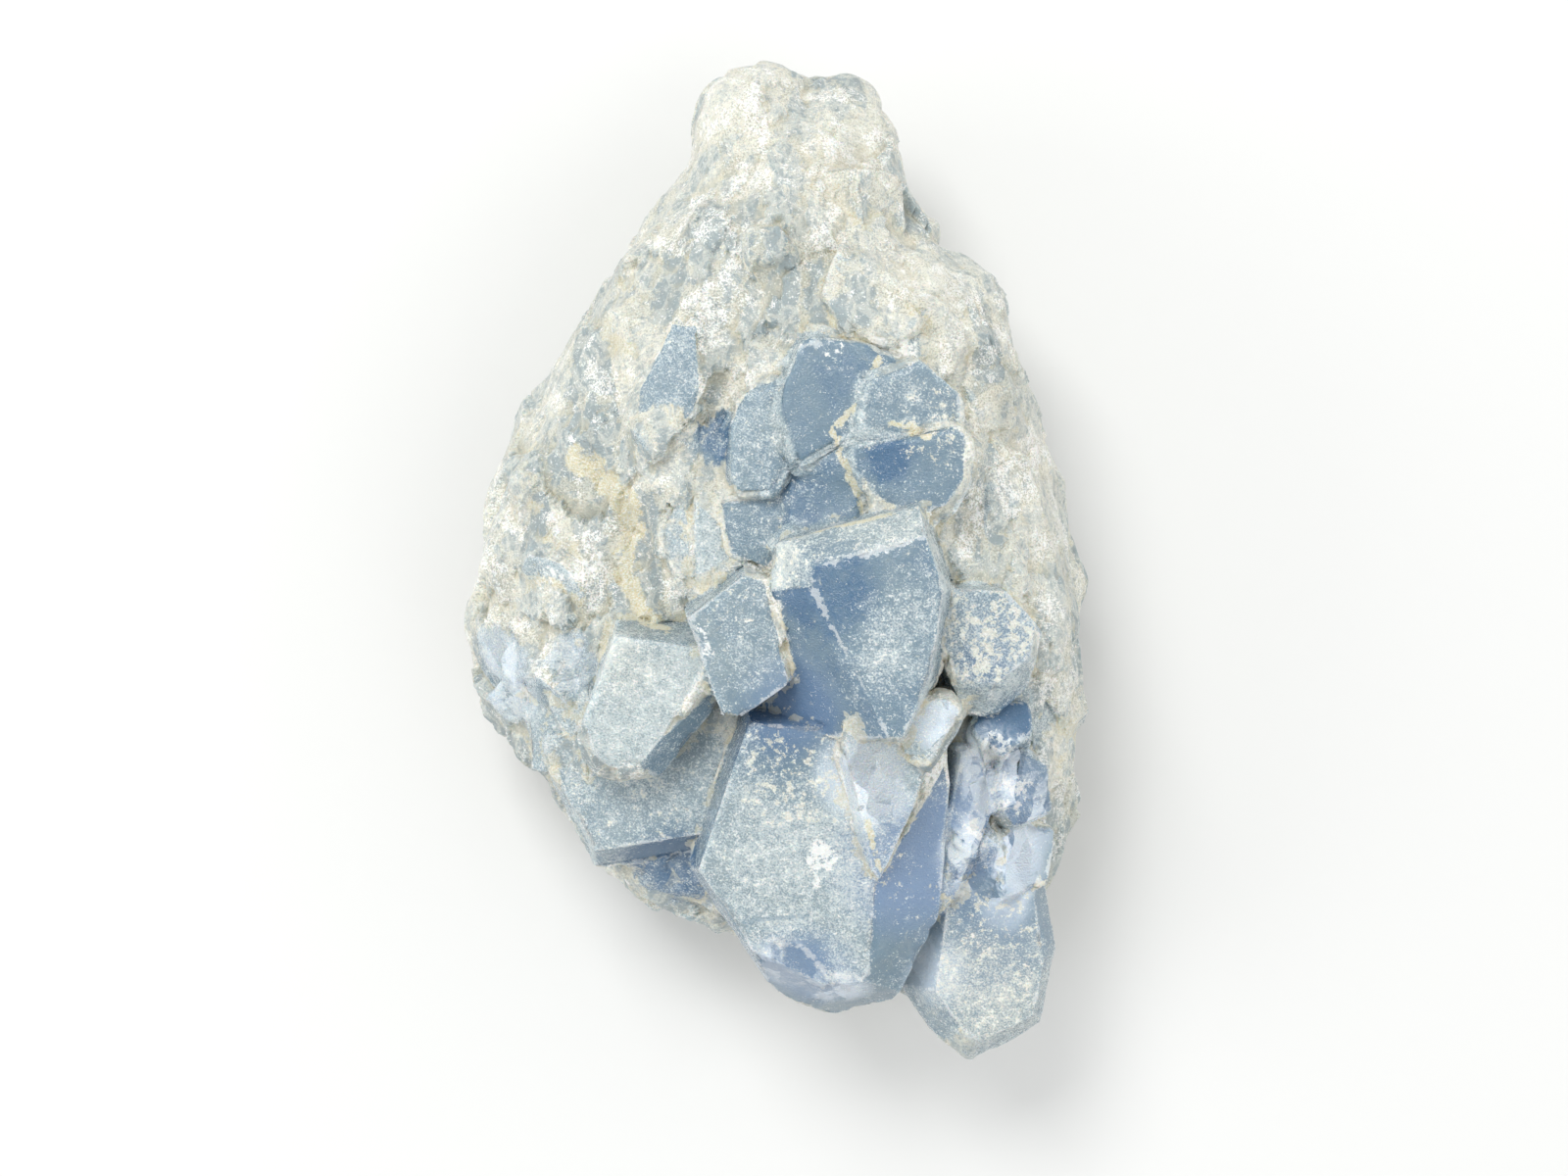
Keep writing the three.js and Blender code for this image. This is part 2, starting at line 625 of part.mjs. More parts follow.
function celestiteCluster() {
  const body = massiveBody();
  const grown = [
    ...LUMPS.map(lump),
    ...CRYSTALS.map(largeCrystal),
    ...RIM_CRYSTALS.map(rimCrystal),
    ...crustBlocks(body),
  ];
  const whole = grown.reduce((solid, form) => solid.add(solidOf(form)), solidOf(body));
  const geometry = settle(geometryOf(whole.subtract(belowTheBreak())));
  geometry.computeVertexNormals();
  const celestite = new THREE.MeshStandardMaterial({ color: CELESTITE_BLUE, roughness: 0.5, metalness: 0 });
  const mesh = new THREE.Mesh(geometry, celestite);
  mesh.name = "celestite_cluster";
  return mesh;
}

const cluster = new THREE.Group();
cluster.add(celestiteCluster());

export default cluster;
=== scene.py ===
"""The looks of a celestite crystal cluster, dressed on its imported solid.

The solid gives every main form. This script splits its faces finely, rounds and flakes the crust, chips the
crystals' edges, and colours it all: pale blue crystal, shattered ice, fine dust, cream crust and sand. The
skin and the material's patterns are sized in millimetres, and everything else is in metres.
"""
import math
from types import SimpleNamespace

import bmesh
import bpy
import numpy as np
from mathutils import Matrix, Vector
from mathutils.kdtree import KDTree


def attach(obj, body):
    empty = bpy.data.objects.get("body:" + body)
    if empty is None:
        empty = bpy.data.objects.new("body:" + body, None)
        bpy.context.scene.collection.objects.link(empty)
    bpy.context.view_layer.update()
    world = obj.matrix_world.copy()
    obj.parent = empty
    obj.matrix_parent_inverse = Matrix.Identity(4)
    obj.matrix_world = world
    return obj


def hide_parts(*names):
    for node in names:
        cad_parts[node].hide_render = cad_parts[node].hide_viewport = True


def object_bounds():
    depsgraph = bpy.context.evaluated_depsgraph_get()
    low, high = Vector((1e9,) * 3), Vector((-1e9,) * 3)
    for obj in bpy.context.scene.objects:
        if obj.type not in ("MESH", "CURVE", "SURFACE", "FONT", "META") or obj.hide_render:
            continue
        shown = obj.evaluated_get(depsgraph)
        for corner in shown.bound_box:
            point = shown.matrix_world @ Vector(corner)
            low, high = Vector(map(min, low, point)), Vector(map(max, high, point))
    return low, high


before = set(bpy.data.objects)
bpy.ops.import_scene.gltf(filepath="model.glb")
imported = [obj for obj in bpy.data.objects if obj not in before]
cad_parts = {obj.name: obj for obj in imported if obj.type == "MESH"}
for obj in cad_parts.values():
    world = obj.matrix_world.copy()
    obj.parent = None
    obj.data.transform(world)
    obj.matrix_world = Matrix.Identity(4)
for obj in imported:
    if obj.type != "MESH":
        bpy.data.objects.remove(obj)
cad_low, cad_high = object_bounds()

MM = 0.001
NODE = "celestite_cluster"
SEED = 5821

# How long an edge may stay when the faces are split: crust, crust under the widest line, crystal faces,
# close to crystal edges and drawn lines, the flat break.
CRUST_EDGE_MM = 1.4
LOW_CRUST_EDGE_MM = 2.0
CRYSTAL_EDGE_MM = 2.2
FINE_EDGE_MM = 0.9
BREAK_EDGE_MM = 6.0
LOW_CRUST_MM = 15.0
FINE_REACH_MM = 1.0
COARSE_STEPS = 9
FINE_STEPS = 2

# A flat region at least as large as the first area is a crystal's face, and one up to the second is crust.
FLAT_ANGLE = math.radians(1.5)
CRYSTAL_AREA_MM2 = 48.0
CRUST_AREA_MM2 = 26.0
SHARP_ANGLE = math.radians(20)
EDGE_POINT_STEP_MM = 0.35
BREAK_LEVEL_MM = 0.05

# Notches between crystals are filled above this height, then the crust's corners are rounded off.
NOTCH_HEIGHT_MM = (15, 25)
FILLING_ROUNDS = 40
SMOOTHING_ROUNDS = 14
SMOOTHING_SHARE = 0.6

# Flakes of the crust, coarse to fine: size in millimetres, lean, step in millimetres. They are drawn out
# along the length by STRETCH, smaller ones are more, and each place belongs to one of the nearest few.
FLAKES = [(11.0, 0.07, 0.15), (5.0, 0.05, 0.05)]
FLAKES_TIMES_SIZE_SQUARED = 60000
NEAR_FLAKES = 5
STRETCH = (1.0, 0.5, 0.8)

# Relief in millimetres: lumps of the crust, growth steps on the crystals, chips along their edges.
LUMP_MM = 0.06
GROWTH_STEP_MM = 0.14
CHIP_MM = 0.5
WEAR_MM = 0.06
CHIP_REACH_MM = 1.3
GRAIN_MM = 0.05
SHADING_ANGLE = math.radians(28)


def noise_at(points, size, seed):
    """Smooth noise from -1 to 1, with lumps of the given size."""
    scaled = points / size
    cell = np.floor(scaled).astype(np.int64)
    part = scaled - cell
    part = part * part * (3 - 2 * part)
    total = np.zeros(len(points))
    for corner in np.ndindex(2, 2, 2):
        at = cell + corner
        mixed = at[:, 0] * 73856093 ^ at[:, 1] * 19349663 ^ at[:, 2] * 83492791 ^ seed * 2654435761
        mixed = (mixed ^ (mixed >> 13)) * 1274126177 & 0xFFFFFFFF
        value = ((mixed ^ (mixed >> 16)) & 0xFFFF) / 32767.5 - 1
        share = np.where(corner, part, 1 - part).prod(axis=1)
        total += share * value
    return total


def nearest(points, targets, count=1):
    """For each point, the indices of the nearest few targets, and how far the first of them is."""
    tree = KDTree(len(targets))
    for i, target in enumerate(targets):
        tree.insert(target, i)
    tree.balance()
    found = [tree.find_n(point, count) for point in points]
    return np.array([[i for _, i, _ in few] for few in found]), np.array([few[0][2] for few in found])


def ramp(value, low, high):
    """0 up to low, 1 from high, smooth between."""
    share = np.clip((value - low) / (high - low), 0, 1)
    return share * share * (3 - 2 * share)


def welded(node):
    """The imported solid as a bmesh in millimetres, each face with its flat region's area."""
    work = bmesh.new()
    work.from_mesh(node.data)
    bmesh.ops.scale(work, vec=(1 / MM,) * 3, verts=work.verts)
    bmesh.ops.remove_doubles(work, verts=work.verts, dist=1e-3)
    work.normal_update()
    work.faces.ensure_lookup_table()
    region = work.faces.layers.int.new("region")
    flat_area = work.faces.layers.float.new("flat_area")
    count = 0
    for start in sorted(work.faces, key=lambda face: -face.calc_area()):
        if start[region]:
            continue
        count += 1
        start[region] = count
        front, members = [start], [start]
        while front:
            face = front.pop()
            for edge in face.edges:
                for other in edge.link_faces:
                    if other[region] or start.normal.angle(other.normal, 4) > FLAT_ANGLE:
                        continue
                    other[region] = count
                    front.append(other)
                    members.append(other)
        area = sum(face.calc_area() for face in members)
        for face in members:
            face[flat_area] = area
    return work


def marked_edges(work):
    """Points along the sharp edges of crystal faces: outer ones that chip, and seams that hold dust."""
    flat_area = work.faces.layers.float["flat_area"]
    outer, seams = [], []
    for edge in work.edges:
        if len(edge.link_faces) != 2:
            continue
        if max(face[flat_area] for face in edge.link_faces) < CRYSTAL_AREA_MM2 * 0.6:
            continue
        angle = edge.calc_face_angle_signed(0)
        if abs(angle) < SHARP_ANGLE:
            continue
        start, end = (vert.co.copy() for vert in edge.verts)
        steps = max(1, int((end - start).length / EDGE_POINT_STEP_MM))
        points = [start.lerp(end, (i + 0.5) / steps) for i in range(steps)]
        (outer if angle > 0 else seams).extend(points)
    return outer, seams


def halved(places, triangles, longest):
    """Cuts each edge that is longer than its triangles allow in two: new places, triangles and parents."""
    following = np.roll(triangles, -1, axis=1)
    keys = np.minimum(triangles, following) * len(places) + np.maximum(triangles, following)
    edges, of_side = np.unique(keys.ravel(), return_inverse=True)
    allowed = np.full(len(edges), np.inf)
    np.minimum.at(allowed, of_side, np.repeat(longest, 3))
    ends = places[np.stack([edges // len(places), edges % len(places)])]
    long_ones = np.linalg.norm(ends[1] - ends[0], axis=1) > allowed
    middle = np.full(len(edges), -1)
    middle[long_ones] = len(places) + np.arange(long_ones.sum())
    places = np.concatenate([places, ends[:, long_ones].mean(axis=0)])
    cuts = middle[of_side].reshape(-1, 3)

    # Each triangle is turned so that its cut sides come first
    count = (cuts >= 0).sum(axis=1)
    first = np.where(count == 2, (cuts < 0).argmax(axis=1) + 1, (cuts >= 0).argmax(axis=1))
    turn = (np.arange(3) + first[:, None]) % 3
    rows = np.arange(len(triangles))
    a, b, c = triangles[rows[:, None], turn].T
    ab, bc, ca = cuts[rows[:, None], turn].T
    shorter = np.linalg.norm(places[a] - places[bc], axis=1) < np.linalg.norm(places[c] - places[ab], axis=1)
    parts = [
        (count == 0, (a, b, c)),
        (count == 1, (a, ab, c)),
        (count == 1, (ab, b, c)),
        (count >= 2, (ab, b, bc)),
        ((count == 2) & shorter, (a, ab, bc)),
        ((count == 2) & shorter, (a, bc, c)),
        ((count == 2) & ~shorter, (a, ab, c)),
        ((count == 2) & ~shorter, (ab, bc, c)),
        (count == 3, (a, ab, ca)),
        (count == 3, (ca, bc, c)),
        (count == 3, (ab, bc, ca)),
    ]
    made = np.concatenate(
        [np.stack([corner[which] for corner in corners], axis=1) for which, corners in parts]
    )
    parents = np.concatenate([rows[which] for which, _ in parts])
    return places, made, parents


def split_finely(work, drawn):
    """The faces split until they carry the relief, finest near the drawn points: places, triangles, and
    each triangle's flat region and that region's area."""
    work.verts.index_update()
    places = np.array([vert.co for vert in work.verts])
    triangles = np.array([[vert.index for vert in face.verts] for face in work.faces])
    region = np.array([face[work.faces.layers.int["region"]] for face in work.faces])
    flat_area = np.array([face[work.faces.layers.float["flat_area"]] for face in work.faces])
    downward = np.array([face.normal.z < -0.99 for face in work.faces])
    for step in range(COARSE_STEPS + FINE_STEPS):
        height = places[triangles][:, :, 2].mean(axis=1)
        if step < COARSE_STEPS:
            longest = np.where(flat_area > CRYSTAL_AREA_MM2, CRYSTAL_EDGE_MM, CRUST_EDGE_MM)
            longest = np.where(height < LOW_CRUST_MM, LOW_CRUST_EDGE_MM, longest)
            longest = np.where(downward & (height < 0.1), BREAK_EDGE_MM, longest)
        else:
            _, away = nearest(places[triangles].mean(axis=1), drawn)
            longest = np.where(away < FINE_REACH_MM, FINE_EDGE_MM, np.inf)
        places, triangles, parents = halved(places, triangles, longest)
        region, flat_area, downward = region[parents], flat_area[parents], downward[parents]
    return places, triangles, region, flat_area


class Skin:
    """The fine mesh as arrays: places in millimetres, triangles, edges and each vertex's own values."""

    def __init__(self, mesh):
        self.mesh = mesh
        count = len(mesh.vertices)
        self.places = np.empty(count * 3)
        mesh.vertices.foreach_get("co", self.places)
        self.places = self.places.reshape(-1, 3)
        self.triangles = np.empty(len(mesh.polygons) * 3, int)
        mesh.polygons.foreach_get("vertices", self.triangles)
        self.triangles = self.triangles.reshape(-1, 3)
        edges = np.empty(len(mesh.edges) * 2, int)
        mesh.edges.foreach_get("vertices", edges)
        self.edges = edges.reshape(-1, 2)
        self.ends = np.concatenate([self.edges[:, 0], self.edges[:, 1]])
        self.others = np.concatenate([self.edges[:, 1], self.edges[:, 0]])
        self.degree = np.bincount(self.ends, minlength=count)

    def normals(self):
        a, b, c = (self.places[self.triangles[:, i]] for i in range(3))
        faces = np.cross(b - a, c - a)
        total = np.zeros_like(self.places)
        for axis in range(3):
            for corner in range(3):
                total[:, axis] += np.bincount(
                    self.triangles[:, corner], weights=faces[:, axis], minlength=len(total)
                )
        return total / np.maximum(np.linalg.norm(total, axis=1, keepdims=True), 1e-9)

    def spread(self, values, rounds, share=1.0):
        """Averages each vertex's value with its neighbours'."""
        values = values.astype(float)
        flat = values.ndim == 1
        table = values[:, None] if flat else values
        for _ in range(rounds):
            mean = np.stack(
                [
                    np.bincount(self.ends, weights=column[self.others], minlength=len(table))
                    for column in table.T
                ],
                axis=1,
            ) / self.degree[:, None]
            table = table + (mean - table) * share
        return table[:, 0] if flat else table

    def from_faces(self, values):
        """A value for each vertex, the mean of its triangles'."""
        total = np.zeros(len(self.places))
        for corner in range(3):
            total += np.bincount(self.triangles[:, corner], weights=values, minlength=len(total))
        count = np.bincount(self.triangles.ravel(), minlength=len(total))
        return total / count

    def keep(self, name, values):
        attribute = self.mesh.attributes.new(name, "FLOAT", "POINT")
        attribute.data.foreach_set("value", np.asarray(values, np.float32))

    def store(self):
        self.mesh.vertices.foreach_set("co", (self.places * MM).ravel())
        self.mesh.update()


def flakes(places, normals, size, lean, step, rng):
    """Rise of a surface broken into leaning flakes of the given size, and each vertex's flake number."""
    count = int(FLAKES_TIMES_SIZE_SQUARED / size**2)
    seeds = places[rng.integers(0, len(places), count)] + rng.normal(0, size * 0.2, (count, 3))
    warp = np.stack([noise_at(places, size * 0.6, SEED + axis) for axis in range(3)], axis=1)
    leaning = rng.normal(0, lean, (count, 3))
    stepping = rng.uniform(-step, step, count)
    near, _ = nearest((places + warp * size * 0.12) * STRETCH, seeds * STRETCH, NEAR_FLAKES)
    rises = []
    for flake in near.T:
        away = places - seeds[flake]
        away -= normals * (away * normals).sum(axis=1, keepdims=True)
        rises.append((away * leaning[flake]).sum(axis=1) + stepping[flake])
    rises = np.array(rises)
    chosen = rises.argmin(axis=0)
    rows = np.arange(len(places))
    rise = rises[chosen, rows]
    return np.clip(rise - rise.mean(), -size * 0.25, size * 0.2), near[rows, chosen]


def finely_split_mesh():
    """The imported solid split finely: mesh, each triangle's flat region and its area, edge points, seams."""
    work = welded(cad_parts[NODE])
    outer, seams = marked_edges(work)
    drawn = [point for lines in (SAND_LINES, WHITE_LINES, BLUE_LINES) for point in points_along(lines)]
    drawn += [point for point in outer if point.z > LOW_CRUST_MM]
    places, triangles, region, flat_area = split_finely(work, drawn)
    work.free()
    mesh = bpy.data.meshes.new("cluster_skin")
    mesh.from_pydata(places.tolist(), [], triangles.tolist())
    return mesh, region, flat_area, outer, seams


def round_off(skin, crystal, worn, on_break):
    """Fills the notches between the crystals from below, and rounds the crust and the worn crystals."""
    low, high = NOTCH_HEIGHT_MM
    filled = ramp(skin.places[:, 2], low, high) * np.maximum((1 - crystal) * 0.6, worn)
    for _ in range(FILLING_ROUNDS):
        lift = np.maximum(skin.spread(skin.places[:, 2], 1) - skin.places[:, 2], 0)
        skin.places[:, 2] += lift * filled
    soft = np.where(on_break, 0, np.maximum(1 - crystal, worn))
    for _ in range(SMOOTHING_ROUNDS):
        skin.places += (skin.spread(skin.places, 1) - skin.places) * soft[:, None] * SMOOTHING_SHARE


def flaked_crust(start, normals, crust, rng):
    """How far the flakes raise each place of the crust, and how light each place's flakes are."""
    rise = np.zeros(len(start))
    tone = np.zeros(len(start))
    for size, lean, step in FLAKES:
        amount, flake = flakes(start, normals, size, lean, step, rng)
        rise += amount * crust
        tone += rng.random(flake.max() + 1)[flake] / len(FLAKES)
    return rise, tone


def worn_crystals(start, crystal, edge_away):
    """How far growth steps and chipped edges take each place down."""
    growth = noise_at(start, 11, 11) + 0.4 * noise_at(start, 4.5, 12)
    steps = crystal * GROWTH_STEP_MM * (ramp(growth, 0.0, 0.12) + ramp(growth, 0.42, 0.5))
    bite = ramp(0.7 * noise_at(start, 2.2, 13) + noise_at(start, 6, 14), 0.1, 0.8)
    return steps + (bite * CHIP_MM + WEAR_MM) * ramp(-edge_away, -CHIP_REACH_MM, 0.0)


def looks_by_region(start, triangles, region):
    """Each flat region's blueness, dust and specks, from the list of faces."""
    middles = start[triangles].mean(axis=1)
    listed, _ = nearest([place for place, *_ in FACES], middles)
    looks = {name: np.full(region.max() + 1, usual) for name, usual in USUAL_LOOK.items()}
    for polygon, (_, *values) in zip(listed[:, 0], FACES):
        for name, value in zip(looks, values):
            looks[name][region[polygon]] = value
    return looks


def broken_skin():
    """The visual piece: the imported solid, split finely, broken and chipped, with what its colours follow."""
    rng = np.random.default_rng(SEED)
    mesh, region, flat_area, outer, seams = finely_split_mesh()
    skin = Skin(mesh)
    start = skin.places.copy()
    crystal = skin.from_faces(ramp(flat_area, CRUST_AREA_MM2, CRYSTAL_AREA_MM2))
    on_break = start[:, 2] < BREAK_LEVEL_MM
    worn = np.clip(zones(start, WORN_ZONES), 0, 1)
    _, edge_away = nearest(start, outer)
    _, seam_away = nearest(start, seams)

    round_off(skin, crystal, worn, on_break)
    normals = skin.normals()
    crust = np.where(on_break, 0, 1 - crystal)
    rise, tone = flaked_crust(start, normals, crust, rng)
    rise += LUMP_MM * noise_at(start, 2.6, 15) * (crust + 0.3 * worn)
    rise -= worn_crystals(start, crystal, edge_away)
    skin.places += normals * np.where(on_break, 0, rise)[:, None]
    skin.places = np.clip(skin.places, np.array(cad_low) / MM, np.array(cad_high) / MM)

    normals = skin.normals()
    near = skin.spread(skin.places, 6)
    face_tone = rng.random(region.max() + 1)[region]
    glassy = np.clip(zones(start, GLASSY_ZONES), 0, 1)
    stony = np.clip(zones(start, STONY_ZONES), 0, 1)
    shattered = np.clip(zones(start, SHATTERED_ZONES), 0, 1)
    looks = looks_by_region(start, skin.triangles, region)
    skin.keep("crystal", np.maximum(crystal * (1 - stony), glassy))
    skin.keep("flat", crystal * (1 - stony) * (1 - shattered))
    skin.keep("shattered", shattered)
    skin.keep("edge_mm", np.minimum(edge_away + 4 * worn, 4))
    skin.keep("seam_mm", np.minimum(seam_away + 2 * worn, 4))
    skin.keep("hollow", np.clip(0.5 + ((near - skin.places) * normals).sum(axis=1) * 1.6, 0, 1))
    skin.keep("tone", crystal * skin.from_faces(face_tone) + (1 - crystal) * tone)
    for name, spots in ZONES.items():
        by_face = skin.from_faces(looks[name][region]) if name in looks else 0
        skin.keep(name, np.clip(by_face + zones(start, spots), -1, 1))
    for name, lines in (("sand_line", SAND_LINES), ("white_line", WHITE_LINES), ("blue_line", BLUE_LINES)):
        skin.keep(name, drawn_lines(start, lines))
    skin.store()
    return mesh


def zones(places, spots):
    """How far each place lies inside the soft balls: x, y, z, radius in millimetres, strength."""
    total = np.zeros(len(places))
    for x, y, z, radius, strength in spots:
        away = np.linalg.norm(places - (x, y, z), axis=1) / radius
        total += strength * np.clip(1.35 * (1 - away**2), 0, 1)
    return total


def points_along(lines):
    """Points every half millimetre along each drawn line."""
    found = []
    for radius, points in lines:
        for start, end in zip(points, points[1:]):
            start, end = Vector(start), Vector(end)
            steps = max(1, int((end - start).length / 0.5))
            found += [start.lerp(end, i / steps) for i in range(steps + 1)]
    return found


def drawn_lines(places, lines):
    """1 on each drawn line, falling evenly to 0 at its radius."""
    total = np.zeros(len(places))
    for radius, points in lines:
        for start, end in zip(points, points[1:]):
            reach = np.subtract(end, start)
            share = np.clip((places - start) @ reach / (reach @ reach), 0, 1)
            away = np.linalg.norm(places - start - share[:, None] * reach, axis=1)
            total = np.maximum(total, 1 - away / radius)
    return total


# Worn, rounded crystal: x, y, z, radius, strength
WORN_ZONES = [
    (-16, 28, 53, 8, 0.8),
    (-3, 18, 58, 9, 0.8),
    (9, 20, 60, 19, 0.9),
    (-8, 18, 53, 9, 0.8),
    (24, 46, 45, 12, 0.7),
    (29, -40, 47, 9, 0.9),
    (37, -38, 44, 11, 0.9),
    (33, -31, 48, 6, 0.7),
    (35, -52, 41, 6, 0.7),
    (-24, 20, 46, 12, 0.6),
    (-25, -14, 54, 9, 0.5),
    (36, 10, 45, 12, 0.6),
]

# Crust that is clear crystal rather than stone
GLASSY_ZONES = [
    (9, 20, 60, 15, 1.0),
    (4, 8, 57, 9, 1.0),
    (-8, 18, 53, 6, 0.9),
    (24, 10, 57, 7, 0.6),
    (36, -23, 48, 8, 1.0),
    (33, -33, 48, 10, 0.9),
    (28, -45, 45, 8, 0.9),
    (34, -52, 41, 10, 0.8),
    (-15, -46, 33, 12, 0.9),
    (-43, -18, 36, 10, 1.0),
    (-31, -16, 45, 7, 0.8),
    (-36, -26, 40, 6, 0.8),
    (-3, 4, 55, 6, 0.6),
]

# Crystal shattered into small glassy faces
SHATTERED_ZONES = [
    (37, -38, 43, 11, 1.0),
    (33, -31, 48, 7, 1.0),
    (31, -45, 44, 8, 1.0),
    (37, -48, 41, 6, 0.8),
    (-15, -46, 33, 9, 0.15),
    (-43, -18, 36, 9, 0.8),
    (-32, -16, 45, 6, 0.6),
    (1, -63.5, 44.5, 7, 0.8),
    (10, -66.5, 42, 6, 0.9),
    (13, -34, 59, 9, 1.0),
    (25, -24, 62, 6, 0.9),
    (24, -64, 37, 7, 0.5),
    (36, -54, 41, 5, 0.5),
]

# Crystals that are coated like the crust
STONY_ZONES = [
    (14, 38.5, 57, 9, 1.0),
    (27, 33, 53, 8, 0.9),
    (25, 48, 45, 18, 0.9),
    (42, 20, 38, 22, 0.9),
    (48, -5, 32, 18, 0.9),
    (46, -32, 32, 12, 0.8),
    (-35, 25, 35, 27, 0.8),
    (-48, -5, 28, 18, 0.8),
    (-22, 0, 46, 10, 0.6),
    (0, 62, 45, 24, 1.0),
    (0, 46, 50, 12, 0.8),
]

# How blue and how dusty a crystal's face is, and how strewn with cream specks, found by a place on it
USUAL_LOOK = {"deep": 0.1, "dust": 0.45, "strewn": 0.1}
FACES = [
    # The crown
    ((10, -4, 67.6), 0.45, 0.0, 0.05),
    ((11.5, 3.2, 65.8), 0.05, 0.3, 0.5),
    ((1.3, -4.3, 63.7), 0.05, 0.55, 0.6),
    ((5, -18.8, 59.6), 0.6, -0.25, 0.05),
    ((24.6, -14.3, 60), 0.3, 0.15, 0.1),
    ((23.4, 1.7, 64), 0.1, 0.6, 0.4),
    ((10.6, 5, 61.8), 0.1, 0.6, 0.4),
    # The slab left of it
    ((-4.1, -11.2, 61.5), 0.2, 0.25, 0.1),
    ((-10.4, -6.1, 56.6), 0.2, 0.4, 0.2),
    ((-10.7, -16.1, 55.8), 0.2, 0.35, 0.1),
    # The largest crystal: upper face, sides, tip
    ((3.1, -33.5, 55.1), 0.2, 0.45, 0.2),
    ((-8.4, -34.6, 48.1), 0.45, 0.25, 0.1),
    ((-7.5, -55.7, 44.1), 0.4, 0.25, 0.0),
    ((20.7, -44.8, 50.1), 0.35, -0.4, 0.0),
    ((4.4, -65, 44.6), 0.1, -0.2, 0.0),
    ((19.6, -61.3, 44.2), 0.3, 0.0, 0.1),
    ((22.4, -52.3, 41.1), 0.4, -0.3, 0.0),
    ((11.3, -68.6, 38.7), 0.15, -0.1, 0.0),
    ((13.1, -49.3, 38.7), 0.3, 0.3, 0.0),
    ((14.6, -65.8, 34.3), 0.3, 0.3, 0.0),
    ((-10.1, -50.8, 37), 0.4, 0.2, 0.0),
    # The two pale prisms on it
    ((12.2, -33.3, 59.1), -0.2, 0.35, 0.0),
    ((25.1, -23.8, 62.4), -0.2, 0.3, 0.0),
    ((26.1, -28.3, 54), 0.1, 0.6, 0.1),
    # The rounded crystal and the plate at the lower left
    ((-22.4, -19.2, 55.5), -0.1, 0.7, 0.2),
    ((-27.5, -19.1, 50.6), 0.1, 0.55, 0.1),
    ((-14, -27, 51.6), 0.35, 0.2, 0.0),
    ((-13.2, -27.6, 47.3), 0.4, 0.2, 0.0),
    ((-13.9, -34.7, 43.5), 0.15, 0.4, 0.5),
    ((-19.5, -45.8, 37.4), 0.3, 0.2, 0.1),
    ((-19.2, -10.5, 52.2), 0.1, 0.5, 0.2),
    ((-3.1, -22, 55.4), 0.6, 0.1, 0.0),
    # The smooth blocks above the crown
    ((9.5, 28.4, 61.3), 0.45, -0.05, 0.1),
    ((17.3, 14.6, 62.3), 0.45, -0.1, 0.2),
    ((17.2, 22.1, 62.8), 0.35, 0.05, 0.3),
    ((-2.9, 17.7, 59.2), 0.3, 0.1, 0.3),
    ((6.8, 8.5, 58.1), 0.5, -0.05, 0.0),
    ((0.5, 5.7, 56.2), 0.4, 0.1, 0.1),
    ((-16.5, 28, 54.3), 0.35, 0.1, 0.3),
    ((-16, 16.5, 52.7), 0.2, 0.4, 0.3),
    ((-13, 4, 53), 0.2, 0.4, 0.3),
    ((-4, 4.5, 55), 0.35, 0.15, 0.2),
    # The mottled block, the deep facet and the hollow
    ((31.1, -9.1, 57.5), 0.5, 0.4, 1.0),
    ((36.2, -22.7, 48.1), 1.0, -0.6, -0.5),
    ((31.9, -31.7, 48.2), 0.3, -0.2, 0.0),
    ((38.7, -35.7, 44.9), 0.2, -0.2, 0.0),
    ((38.5, -46, 41.7), 0.25, -0.2, 0.0),
    # The foot
    ((33.7, -64.7, 38.5), 0.15, 0.35, 0.7),
    ((22.2, -66.9, 35.4), 0.1, -0.2, 0.0),
    ((36.2, -71.8, 23.8), 0.2, 0.3, 0.1),
    ((40.5, -67.1, 24.3), 0.2, 0.3, 0.1),
    ((36.9, -75.2, 33.1), 0.2, 0.4, 0.2),
    ((24.6, -71.4, 34.1), 0.3, 0.3, 0.0),
    ((41.9, -55.7, 38), 0.2, 0.35, 0.2),
]

